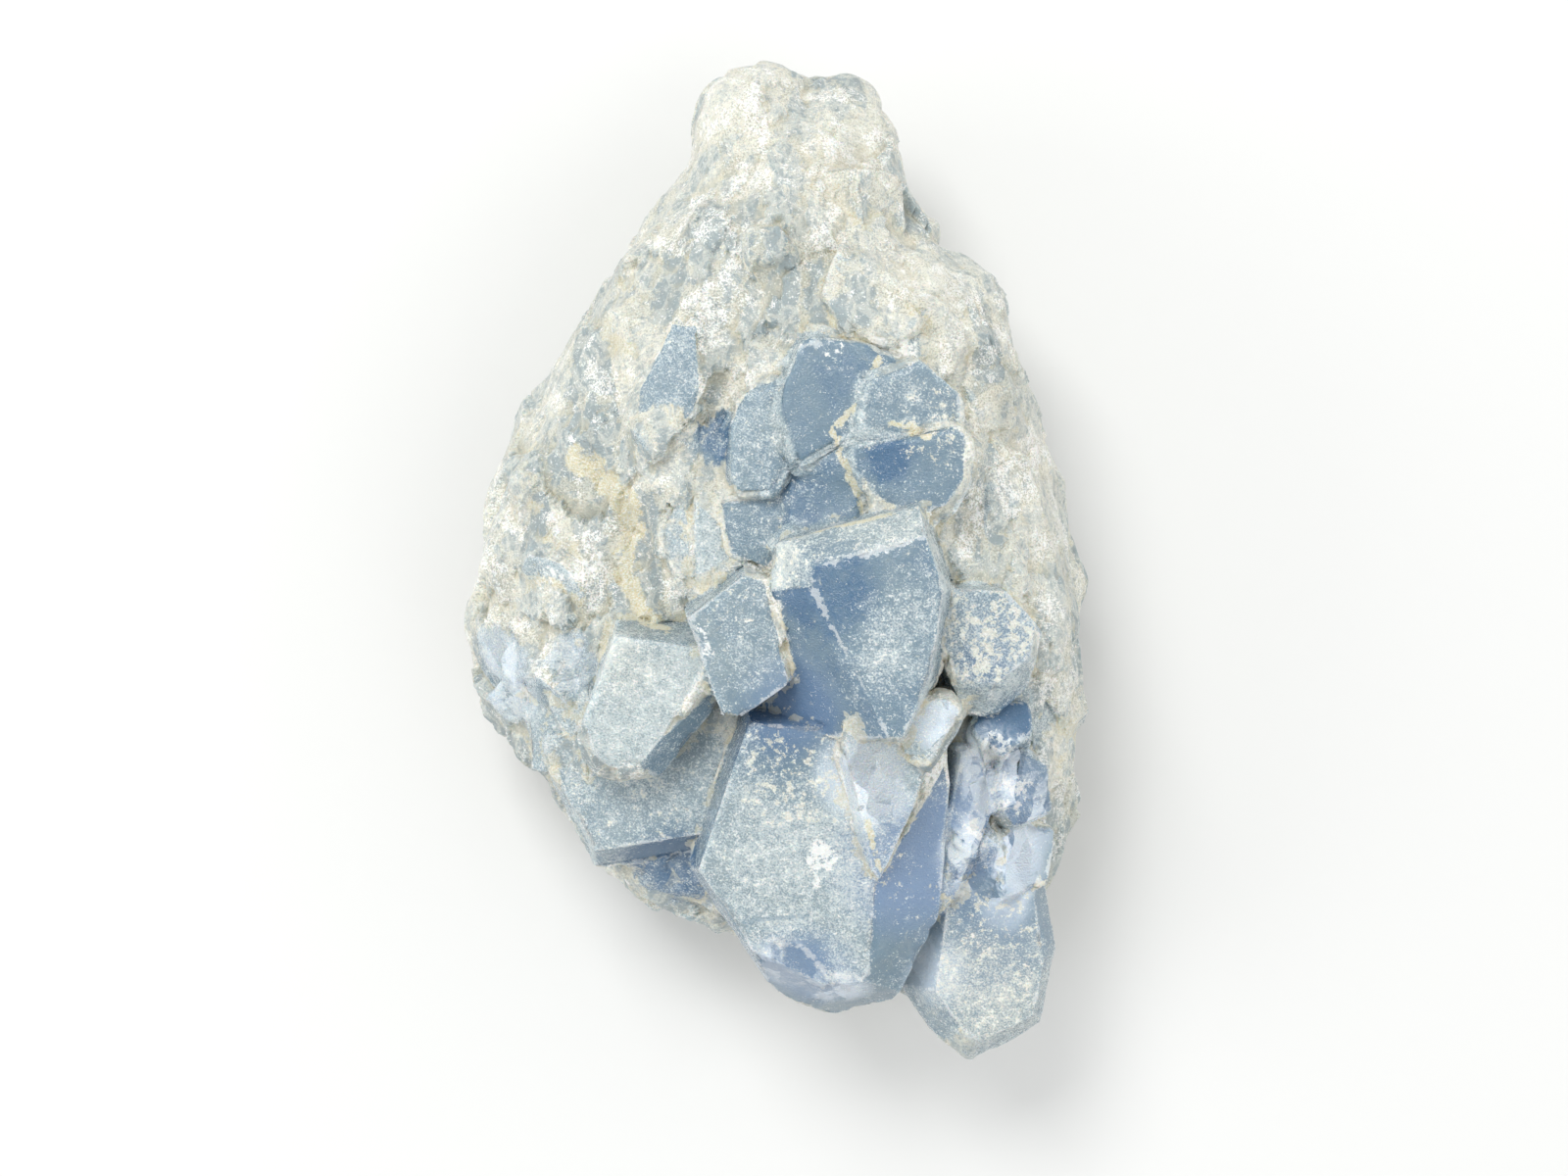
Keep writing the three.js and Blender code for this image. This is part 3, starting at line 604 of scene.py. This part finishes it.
# Soft changes across the faces
ZONES = {
    "deep": [
        (8, -4, 67, 9, 0.4),
        (3, -22, 55, 9, 0.25),
        (-3, -24, 53, 7, 0.3),
        (-2, -26, 57, 9, 0.25),
        (4, -30, 56, 10, 0.1),
        (-8, -50, 35, 14, 0.3),
        (3, -62.5, 46.5, 6.5, 0.15),
        (36, -22, 48, 4.5, 0.6),
        (31, -17, 57, 5, 0.5),
        (25, -30, 58, 6, 0.6),
        (32, -33, 48, 6, 0.4),
        # The cavity at the lower left: partly the crystal's deep blue, partly painted shade in the hollow.
        (-15, -46, 33, 12, 1.2),
        (17, 15, 62, 4.5, 0.6),
        (10, 27, 61, 5, 0.2),
        (4, 10, 57, 9, 0.2),
        (-8, 26, 53, 4, 0.8),
        (-9, 19, 53, 4, 0.9),
        (-8, 14, 53, 4, 0.8),
        (-7, 40, 53, 4, 0.5),
        (-44, -17, 36, 9, 0.3),
        (-32, -16, 45, 8, 0.35),
        (34, -51, 42, 9, 0.35),
    ],
    "dust": [
        (8, -4, 67, 9, -0.35),
        (19, -10, 67, 10, 0.45),
        (14, -17, 66, 7, 0.15),
        (3, -22, 56, 9, -0.25),
        (5, -46, 52, 14, 0.12),
        (3, -62.5, 46.5, 6.5, -0.6),
        (-1, -27, 57, 9, -0.3),
        (4, -31, 55, 9, -0.2),
        (34, -53, 42, 10, -0.35),
        (40, -60, 38, 6, -0.2),
        (24, -33, 52, 6, 0.2),
        (-9, 19, 53, 7, -0.3),
        (17, 15, 62, 4, -0.2),
        (28, 18, 60, 6, 0.2),
        (-3, -29, 54, 6, 0.1),
        (34, -51, 42, 8, -0.25),
        (-15, -46, 35, 9, -0.5),
        (36, -23, 48, 6, -0.3),
    ],
    "strewn": [
        (19, -50, 49, 6, 0.5),
        (3, -33, 55, 12, 0.6),
        (0, -2, 64, 6, 0.3),
        (-7, -7, 61, 5, 0.5),
        (24, 20, 61, 7, 0.5),
    ],
    "violet": [
        (21, -45, 49, 15, 1.0),
        (34, -38, 45, 13, 0.8),
        (31, -60, 38, 14, 0.35),
        (3, -21, 57, 10, 0.5),
        (34, -12, 56, 7, 0.3),
        (4, -65, 44.5, 11, 0.8),
    ],
    "creamy": [
        (-12, 70, 30, 16, 0.25),
        (3, 70, 35, 26, 0.3),
        (28, 18, 60, 9, 0.6),
        (5, 3, 64, 8, 0.5),
        (17, 4.5, 66, 8, 0.5),
        (34, -66, 37, 13, 0.8),
        (-24, -14, 55, 8, 0.5),
        (16, 62, 42, 14, 0.4),
        (24, 40, 50, 16, 0.75),
        (-24, 38, 40, 18, 0.4),
        (-46, 0, 25, 22, 0.2),
        (40, 20, 40, 22, 0.3),
        (50, -20, 30, 20, 0.4),
    ],
    "bruised": [
        (7, -45, 51.5, 3.2, 1.3),
        (6, -50, 50, 2, 0.7),
        (9, 33, 60, 4, 0.5),
        (19, 31.5, 57, 3.5, 0.9),
        (-11, -12, 60, 3.5, 0.8),
        (-34, -3, 46, 4, 0.6),
        (-29, 0, 47, 4, 0.7),
        (34, -29, 50, 4, 0.8),
        # The next two whiten the glassy hollow: crushed white crystal, and painted light that lifts the
        # hollow's shade.
        (36, -36, 45, 5, 0.75),
        (31, -42, 46, 4, 0.7),
        (25, 8, 58, 5, 0.5),
        (30, 0, 52, 5, 0.4),
    ],
}

# Drawn lines: radius in millimetres, then points
SAND_LINES = [
    (1.3, [(-1.3, -1.4, 61), (4, 4.2, 62.5), (12.7, 5.8, 64.3), (21.1, 6.6, 64.6), (23.5, 6.6, 63)]),
    (3.4, [(-31, 16, 46), (-26, 12, 48.5), (-22.4, 8.4, 48.6), (-21.5, 5, 48.3)]),
    (2.6, [(-21.5, 5, 48.3), (-22.5, 1.7, 47.3), (-23.4, -2.5, 46.6), (-20.8, -7.5, 47.4), (-17, -11, 52)]),
    (1.0, [(15.5, 30, 60.5), (14.8, 27, 61), (14.5, 23.6, 62.5), (11.2, 21.7, 61), (8.8, 19.4, 61)]),
    (1.0, [(8.8, 19.4, 61), (10, 15.5, 60.3), (11.9, 10.8, 60.3), (13.2, 7.4, 59.5)]),
    (0.9, [(13.5, 20.6, 62.2), (16.3, 19.1, 61.5), (17.5, 20.2, 62.5), (20.2, 19, 62), (22.9, 18, 62.8)]),
    (0.8, [(13.9, -39.5, 56.5), (15.8, -47.2, 53.2)]),
]
WHITE_LINES = [
    (0.2, [(5.5, -0.6, 67), (5.1, -3.3, 67.2), (5.7, -8.1, 66.5), (9.4, -12.9, 66.8), (15.4, -19.2, 66.4)]),
    (0.6, [(5.5, -0.6, 67), (11.4, 0.6, 67.8), (18.5, 1.9, 68.7), (22.7, 3.8, 66)]),
    (1.2, [(-4.8, -57.5, 47.6), (4.5, -59.7, 47.3), (8, -64.2, 46), (13.7, -64.6, 46.1)]),
    (0.9, [(28.2, -31.6, 49.6), (28.5, -39, 47), (27.6, -47.1, 44.2)]),
    (0.6, [(6.5, -46, 51.5), (5.6, -52, 49.6), (5.2, -57, 48)]),
    (1.6, [(4, 32, 61.5), (11, 33.5, 60.5), (18.5, 32, 58)]),
]
BLUE_LINES = [
    (0.7, [(-4.8, -55.6, 48.2), (0, -55, 48.6), (5.4, -54.7, 48.8)]),
]


class Surface:
    """Short names for a material's nodes, each returning the socket that the next one reads."""

    def __init__(self, name):
        self.material = bpy.data.materials.new(name)
        self.material.use_nodes = True
        self.nodes = self.material.node_tree.nodes
        self.links = self.material.node_tree.links
        self.shader = self.nodes["Principled BSDF"]
        self.place = self.nodes.new("ShaderNodeTexCoord").outputs["Object"]

    def plug(self, value, socket):
        if isinstance(value, bpy.types.NodeSocket):
            self.links.new(value, socket)
        elif isinstance(value, tuple):
            socket.default_value = value if len(socket.default_value) == 3 else (*value, 1.0)
        else:
            socket.default_value = value

    def math(self, operation, a, b=0.0, clamp=False):
        node = self.nodes.new("ShaderNodeMath")
        node.operation = operation
        node.use_clamp = clamp
        self.plug(a, node.inputs[0])
        self.plug(b, node.inputs[1])
        return node.outputs[0]

    def add(self, a, b):
        return self.math("ADD", a, b)

    def times(self, a, b):
        return self.math("MULTIPLY", a, b)

    def swing(self, amount, *noises):
        """The noises' sum as a swing to both sides of 0."""
        total = noises[0]
        for noise in noises[1:]:
            total = self.add(total, noise)
        return self.times(self.math("SUBTRACT", total, len(noises) / 2), amount)

    def vector(self, operation, a, b):
        node = self.nodes.new("ShaderNodeVectorMath")
        node.operation = operation
        self.plug(a, node.inputs[0])
        self.plug(b, node.inputs[3 if operation == "SCALE" else 1])
        return node.outputs["Value" if operation == "DOT_PRODUCT" else "Vector"]

    def cut(self, value, low, high):
        """0 up to low and 1 from high, or the other way round if low is the larger."""
        node = self.nodes.new("ShaderNodeMapRange")
        node.interpolation_type = "SMOOTHSTEP"
        backwards = low > high
        self.plug(value, node.inputs["Value"])
        node.inputs["From Min"].default_value = min(low, high)
        node.inputs["From Max"].default_value = max(low, high)
        node.inputs["To Min"].default_value = 1.0 if backwards else 0.0
        node.inputs["To Max"].default_value = 0.0 if backwards else 1.0
        return node.outputs["Result"]

    def mix(self, share, a, b):
        node = self.nodes.new("ShaderNodeMix")
        node.data_type = "RGBA"
        self.plug(share, node.inputs["Factor"])
        self.plug(a, node.inputs[6])
        self.plug(b, node.inputs[7])
        return node.outputs[2]

    def blend(self, share, a, b):
        node = self.nodes.new("ShaderNodeMix")
        self.plug(share, node.inputs["Factor"])
        self.plug(a, node.inputs[2])
        self.plug(b, node.inputs[3])
        return node.outputs[0]

    def noise(self, size_mm, detail=2.0, roughness=0.5, warp=0.0, offset=0.0, spread=3.6):
        """Noise spread so that about as much of it lies above any value as 1 less that value."""
        node = self.nodes.new("ShaderNodeTexNoise")
        node.inputs["Scale"].default_value = 1 / (size_mm * MM)
        node.inputs["Detail"].default_value = detail
        node.inputs["Roughness"].default_value = roughness
        node.inputs["Distortion"].default_value = warp
        self.links.new(self.vector("ADD", self.place, (offset, offset, offset)), node.inputs["Vector"])
        return self.add(self.times(node.outputs["Fac"], spread), 0.5 - spread / 2)

    def shards(self, size_mm, warp_mm, offset):
        """Random shards: how each leans, fine lines across it, its tone, its edge's distance in mm."""
        shake = self.nodes.new("ShaderNodeTexNoise")
        shake.inputs["Scale"].default_value = 1 / (size_mm * MM)
        shake.inputs["Detail"].default_value = 1
        self.links.new(self.place, shake.inputs["Vector"])
        pushed = self.vector("SUBTRACT", shake.outputs["Color"], (0.5, 0.5, 0.5))
        near = self.vector("ADD", self.place, self.vector("SCALE", pushed, 4 * warp_mm * MM))
        cells = []
        for feature in ("F1", "DISTANCE_TO_EDGE"):
            cell = self.nodes.new("ShaderNodeTexVoronoi")
            cell.feature = feature
            cell.inputs["Scale"].default_value = 1 / (size_mm * MM)
            drawn_out = self.vector("MULTIPLY", near, STRETCH)
            self.links.new(self.vector("ADD", drawn_out, (offset, offset, offset)), cell.inputs["Vector"])
            cells.append(cell)
        leaning = self.vector("SUBTRACT", cells[0].outputs["Color"], (0.5, 0.5, 0.5))
        lines = self.nodes.new("ShaderNodeTexNoise")
        lines.noise_dimensions = "1D"
        lines.inputs["Scale"].default_value = 1 / (0.25 * MM)
        lines.inputs["Detail"].default_value = 1
        self.links.new(self.vector("DOT_PRODUCT", near, leaning), lines.inputs["W"])
        return SimpleNamespace(
            lean=leaning,
            lines=lines.outputs["Fac"],
            tone=self.vector("DOT_PRODUCT", cells[0].outputs["Color"], (0.5, 0.5, 0.0)),
            edge=self.times(cells[1].outputs["Distance"], size_mm),
        )

    def over(self, noise, share, soft=0.12):
        """1 over about the given share of the surface, in the noise's shapes."""
        return self.cut(self.add(noise, share), 1 - soft, 1 + soft)

    def value(self, name):
        node = self.nodes.new("ShaderNodeAttribute")
        node.attribute_name = name
        return node.outputs["Fac"]

    def upward(self):
        geometry = self.nodes.new("ShaderNodeNewGeometry")
        parts = self.nodes.new("ShaderNodeSeparateXYZ")
        self.links.new(geometry.outputs["Normal"], parts.inputs[0])
        return parts.outputs["Z"]


def srgb(red, green, blue):
    """A colour from its 0 to 255 screen values."""
    return tuple(
        (c / 255 / 12.92) if c / 255 <= 0.04045 else ((c / 255 + 0.055) / 1.055) ** 2.4
        for c in (red, green, blue)
    )


# The stone's colours, from dark blue crystal to yellow sand
DEEP_BLUE = srgb(84, 122, 155)
MID_BLUE = srgb(126, 152, 168)
VIOLET_BLUE = srgb(142, 169, 206)
ICE = srgb(222, 233, 243)
PALE_BLUE = srgb(158, 176, 182)
FROST = srgb(218, 225, 221)
WHITE = srgb(250, 250, 245)
CREAM = srgb(231, 230, 216)
STONE_GREY = srgb(203, 206, 199)
ICY_GREY = srgb(182, 190, 186)
DARK_ICE = srgb(156, 168, 169)
DARK_GREY = srgb(148, 154, 153)
TAN = srgb(206, 200, 173)
SAND = srgb(217, 205, 160)


def patterns(s):
    """The skin's own values and the noises, which every part of the material reads."""
    names = ["crystal", "flat", "shattered", "edge_mm", "seam_mm", "hollow", "tone"]
    names += [*ZONES, "sand_line", "white_line", "blue_line"]
    n = SimpleNamespace(**{name: s.value(name) for name in names})
    n.up = s.upward()
    n.grain = s.noise(0.3, 1, 0.7)
    n.speckle = s.noise(1.1, 3, 0.75, offset=0.3)
    n.mottle = s.noise(2.6, 3, 0.65, 0.6, offset=0.4)
    n.patch = s.noise(9, 3, 0.6, 0.8, offset=0.5)
    n.streak = s.noise(3.0, 4, 0.65, 2.2, offset=0.9)
    n.large = s.shards(8.0, 1.2, 0.0)
    n.small = s.shards(3.0, 0.5, 0.07)
    n.clumps = s.add(s.times(n.speckle, 0.6), s.times(n.mottle, 0.4))
    n.blown = s.add(s.times(s.add(n.speckle, n.mottle), 0.8), 0.2)
    return n


def clean_crystal(s, n):
    """Blue that deepens where it is clear and, as painted shade, on faces that turn away from up; violet in
    places, and icy white where it is shattered.
    """
    # Faces that turn away from up get a deeper blue: painted shade on the steeper sides, added to the clear
    # crystal's own blue.
    depth_and_side_shade = s.add(n.deep, s.times(s.cut(n.up, 0.75, 0.2), 0.2))
    depth_and_side_shade = s.add(depth_and_side_shade, s.swing(0.25, n.streak))
    depth_and_side_shade = s.add(depth_and_side_shade, s.swing(0.25, n.patch))
    blue = s.mix(s.cut(depth_and_side_shade, -0.15, 0.4), PALE_BLUE, MID_BLUE)
    blue = s.mix(s.cut(depth_and_side_shade, 0.35, 1.0), blue, DEEP_BLUE)
    blue = s.mix(s.times(n.violet, 0.7), blue, VIOLET_BLUE)
    glassy = s.add(s.times(n.small.tone, 0.3), s.times(n.streak, 0.2))
    glassy = s.add(s.times(n.large.tone, 0.5), glassy)
    return s.mix(s.times(s.cut(glassy, 0.25, 0.5), n.shattered), blue, ICE)


def dusty_crystal(s, n):
    """The blue under fine dust, cream specks and white crystallites with painted glints on them, and how dusty
    it is.
    """
    cover = s.add(n.dust, s.times(s.cut(n.up, 0.4, 0.95), 0.1))
    cover = s.add(cover, s.swing(0.3, n.tone, n.patch))
    cover = s.add(cover, s.swing(0.3, n.mottle, n.streak))
    cover = s.add(cover, s.swing(0.3, n.speckle))
    sugar = s.over(n.grain, s.times(cover, 0.95), 0.45)
    dusted = s.math("ADD", s.times(sugar, 0.4), s.times(cover, 0.45), True)
    colour = s.mix(dusted, clean_crystal(s, n), s.mix(n.creamy, FROST, CREAM))
    clots = s.over(n.clumps, s.add(s.times(n.strewn, 0.5), -0.08), 0.06)
    colour = s.mix(s.times(clots, 0.8), colour, CREAM)
    # White specks on the faces: tiny crystallites, and painted glints of light on them.
    fine = s.add(s.times(n.grain, 0.6), s.times(n.speckle, 0.4))
    glints = s.over(fine, s.times(cover, 0.25), 0.08)
    return s.mix(s.times(glints, 0.6), colour, WHITE), dusted


def crust_colour(s, n):
    """Broken shards of grey, cream and icy blue, each with its own fine lines, pale along their edges, with
    white chips and painted glints in clusters, and painted shade in tiny hollows.
    """
    line = s.swing(1.6, n.large.lines, n.small.lines)
    kind = s.add(s.times(n.small.tone, 0.2), s.times(n.patch, 0.3))
    kind = s.add(s.times(n.large.tone, 0.6), kind)
    kind = s.add(kind, s.add(s.times(n.creamy, 0.25), -0.05))
    kind = s.add(kind, s.add(s.times(line, 0.2), s.swing(0.3, n.streak)))
    earthy = s.mix(s.times(s.over(n.mottle, 0.3, 0.25), 0.4), CREAM, TAN)
    rock = s.mix(s.cut(kind, 0.3, 0.5), DARK_ICE, ICY_GREY)
    rock = s.mix(s.cut(kind, 0.45, 0.6), rock, STONE_GREY)
    rock = s.mix(s.cut(kind, 0.58, 0.78), rock, earthy)
    rock = s.mix(s.cut(kind, 0.8, 1.1), rock, WHITE)

    vein = s.cut(s.add(n.large.edge, s.swing(1.6, n.mottle)), 0.5, 0.15)
    rock = s.mix(s.times(vein, 0.6), rock, s.mix(n.grain, TAN, CREAM))
    small_vein = s.cut(s.add(n.small.edge, s.swing(0.8, n.patch)), 0.2, 0.05)
    rock = s.mix(s.times(small_vein, 0.4), rock, CREAM)

    # White specks in clusters: white chips, and painted glints of tiny faces catching the light.
    chips_and_glints = s.add(s.times(n.speckle, 0.35), s.times(n.mottle, 0.2))
    chips_and_glints = s.add(s.times(n.grain, 0.45), chips_and_glints)
    clusters = s.add(s.times(s.cut(n.patch, 0.5, 0.95), 0.35), 0.15)
    rock = s.mix(s.times(s.over(chips_and_glints, clusters, 0.1), 0.8), rock, WHITE)
    # Dark grey specks where the noise is lowest: painted shade in tiny hollows of the crust.
    painted_pit_shade = s.over(s.math("SUBTRACT", 1.0, chips_and_glints), 0.2, 0.15)
    rock = s.mix(s.times(painted_pit_shade, 0.4), rock, DARK_GREY)
    rock = s.mix(s.times(s.cut(n.grain, 0.5, 0.0), 0.3), rock, DARK_GREY)
    return s.mix(s.times(s.cut(n.hollow, 0.6, 0.95), 0.4), rock, TAN)


def sand_share(s, n):
    """Where sand lies: in the seams that face up, and in the drawn gullies."""
    settled = s.cut(s.add(n.seam_mm, s.swing(2.2, n.mottle, n.patch)), 0.5, 0.1)
    settled = s.times(s.times(settled, s.cut(n.up, 0.0, 0.6)), 0.5)
    drift = s.cut(s.times(n.sand_line, n.blown), 0.25, 0.55)
    return s.math("MAXIMUM", settled, s.times(drift, 0.8))


def white_share(s, n):
    """Where the crystal is white: along drawn lines, on chipped crystal edges, whose white is partly a painted
    edge highlight, and in bruises.
    """
    lined = s.cut(s.times(n.white_line, n.blown), 0.45, 0.8)
    # White within a quarter millimetre of the outer crystal edges: chipped edges, and a painted highlight
    # along them.
    chips_and_edge_highlights = s.cut(s.add(n.edge_mm, s.swing(0.9, n.patch, n.speckle)), 0.25, 0.0)
    thin = s.math("MAXIMUM", lined, s.times(chips_and_edge_highlights, n.crystal))
    bruise = s.over(n.clumps, s.add(s.times(n.bruised, 0.95), -0.2))
    return s.math("MAXIMUM", s.times(thin, 0.45), s.times(bruise, 0.75))


def relief(s, n):
    """The normal: each shard of the crust leans its own way, and fine grain roughens everything."""
    lean = s.vector("ADD", s.vector("SCALE", n.large.lean, 0.5), s.vector("SCALE", n.small.lean, 0.45))
    lean = s.vector("SCALE", lean, s.add(s.math("SUBTRACT", 1.0, n.flat), n.shattered))
    turned = s.vector("ADD", s.nodes.new("ShaderNodeNewGeometry").outputs["Normal"], lean)
    bump = s.nodes.new("ShaderNodeBump")
    bump.inputs["Distance"].default_value = GRAIN_MM * MM
    s.plug(n.grain, bump.inputs["Height"])
    s.plug(s.vector("NORMALIZE", turned, (0.0, 0.0, 0.0)), bump.inputs["Normal"])
    return bump.outputs["Normal"]


def celestite():
    """Translucent blue crystal under dust, with a cream and grey crust, sand in the hollows."""
    s = Surface("celestite")
    n = patterns(s)
    colour, dusted = dusty_crystal(s, n)
    crusty = s.cut(s.add(n.crystal, s.swing(0.5, n.mottle)), 0.75, 0.4)
    colour = s.mix(crusty, colour, crust_colour(s, n))
    sanded = sand_share(s, n)
    colour = s.mix(sanded, colour, s.mix(n.grain, SAND, CREAM))
    whitened = white_share(s, n)
    colour = s.mix(whitened, colour, WHITE)
    colour = s.mix(s.times(s.cut(n.blue_line, 0.3, 0.6), 0.5), colour, MID_BLUE)

    dull = s.math("MAXIMUM", s.times(crusty, 0.7), s.math("MAXIMUM", sanded, dusted), True)
    clear = s.times(s.math("SUBTRACT", 1.0, s.math("MAXIMUM", dull, whitened)), 0.22)
    clear = s.times(clear, s.add(1.0, s.times(n.shattered, -0.7)))
    s.plug(colour, s.shader.inputs["Base Color"])
    s.plug(s.blend(dull, 0.12, 0.6), s.shader.inputs["Roughness"])
    s.plug(clear, s.shader.inputs["Transmission Weight"])
    s.plug(relief(s, n), s.shader.inputs["Normal"])
    s.shader.inputs["IOR"].default_value = 1.62
    s.shader.inputs["Subsurface Weight"].default_value = 0.45
    s.shader.inputs["Subsurface Radius"].default_value = (0.55, 0.8, 1.0)
    s.shader.inputs["Subsurface Scale"].default_value = 3 * MM
    tint = s.nodes.new("ShaderNodeVolumeAbsorption")
    tint.inputs["Color"].default_value = (0.31, 0.6, 0.785, 1)
    tint.inputs["Density"].default_value = 40
    s.links.new(tint.outputs["Volume"], s.nodes["Material Output"].inputs["Volume"])
    return s.material


FLOOR_SIZE = 4.0
LIGHTS_AIM = (0, 0, 0.03)


def plain(name, colour, roughness):
    material = bpy.data.materials.new(name)
    material.use_nodes = True
    shader = material.node_tree.nodes["Principled BSDF"]
    shader.inputs["Base Color"].default_value = (*colour, 1)
    shader.inputs["Roughness"].default_value = roughness
    return material


def cluster():
    mesh = broken_skin()
    piece = bpy.data.objects.new("cluster_visual", mesh)
    bpy.context.scene.collection.objects.link(piece)
    mesh.materials.append(celestite())
    mesh.shade_smooth()
    mesh.set_sharp_from_angle(angle=SHADING_ANGLE)
    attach(piece, "root")
    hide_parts(NODE)
    return piece


def floor():
    bpy.ops.mesh.primitive_plane_add(size=FLOOR_SIZE)
    sheet = bpy.context.object
    sheet.name = "floor"
    sheet.data.materials.append(plain("floor_pale", (0.78, 0.78, 0.76), 0.9))


def soft_light(name, place, size, power):
    data = bpy.data.lights.new(name, "AREA")
    data.size = size
    data.energy = power
    lamp = bpy.data.objects.new(name, data)
    lamp.location = place
    lamp.rotation_euler = (Vector(LIGHTS_AIM) - Vector(place)).to_track_quat("-Z", "Y").to_euler()
    bpy.context.scene.collection.objects.link(lamp)


def studio():
    soft_light("key", (-0.3, 0.55, 0.95), 0.45, 7)
    soft_light("fill", (0.6, -0.4, 0.9), 0.9, 2.5)
    soft_light("left", (-0.8, -0.1, 0.4), 0.7, 2.5)
    soft_light("right", (0.8, 0.1, 0.4), 0.7, 1.5)
    world = bpy.data.worlds.new("studio")
    world.use_nodes = True
    world.node_tree.nodes["Background"].inputs["Color"].default_value = (0.94, 0.955, 0.98, 1)
    world.node_tree.nodes["Background"].inputs["Strength"].default_value = 0.62
    bpy.context.scene.world = world
    bpy.context.scene.view_settings.view_transform = "Standard"


# The camera looks straight down from about half a metre, as the photograph does.
CAMERA_PLACE = (0.00134, -0.00434, 0.525)
FRAME_WIDTH = 0.2524
FRAME_HEIGHT_ABOVE_FLOOR = 0.025
SENSOR = 0.036


def camera():
    data = bpy.data.cameras.new("camera")
    data.sensor_width = SENSOR / MM
    data.lens = SENSOR / MM * (CAMERA_PLACE[2] - FRAME_HEIGHT_ABOVE_FLOOR) / FRAME_WIDTH
    data.clip_start = 0.01
    eye = bpy.data.objects.new("camera", data)
    eye.location = CAMERA_PLACE
    bpy.context.scene.collection.objects.link(eye)
    bpy.context.scene.camera = eye


camera()
cluster()
floor()
studio()
